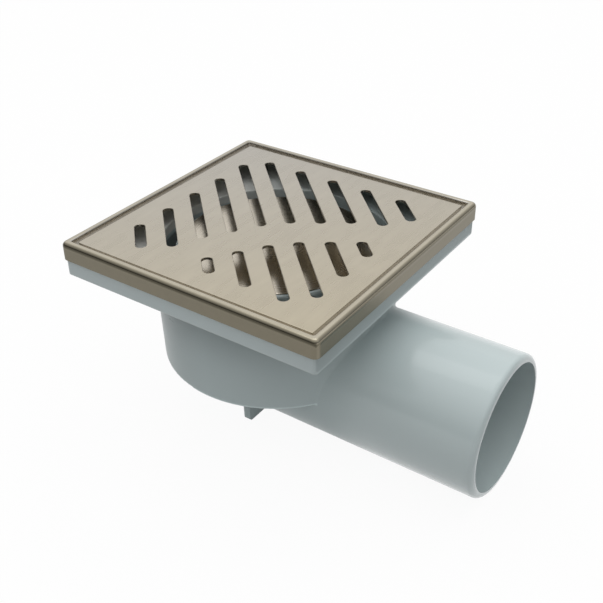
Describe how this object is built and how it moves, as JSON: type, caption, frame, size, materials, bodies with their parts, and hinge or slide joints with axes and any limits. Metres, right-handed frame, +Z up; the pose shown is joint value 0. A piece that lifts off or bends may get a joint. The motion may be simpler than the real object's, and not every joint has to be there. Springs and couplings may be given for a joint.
{
  "type": "floor gully trap",
  "caption": "Square floor gully: slotted steel grate and trim on a plastic tray, round water-seal bowl with a lift-out bell, and a level 75 mm outlet spigot.",
  "frame": {"origin": "under the bowl's axis, on the underside of the cross foot, at the level of the pipe's lowest line", "axes": "+Z up along the bowl's axis, +X along the outlet spigot towards its mouth"},
  "size_m": [0.2128, 0.1536, 0.1105],
  "materials": {
    "grey_plastic": "moulded, half gloss",
    "brushed_steel": "brushed satin, warm grey",
    "bell_plastic": "moulded, half gloss",
    "cap_steel": "turned, fine circular brushing"
  },
  "bodies": {
    "root": {"body": "grey_plastic", "steel_frame": "brushed_steel", "grate": "brushed_steel", "bell": "bell_plastic", "bell_cap": "cap_steel"}
  },
  "joints": []
}
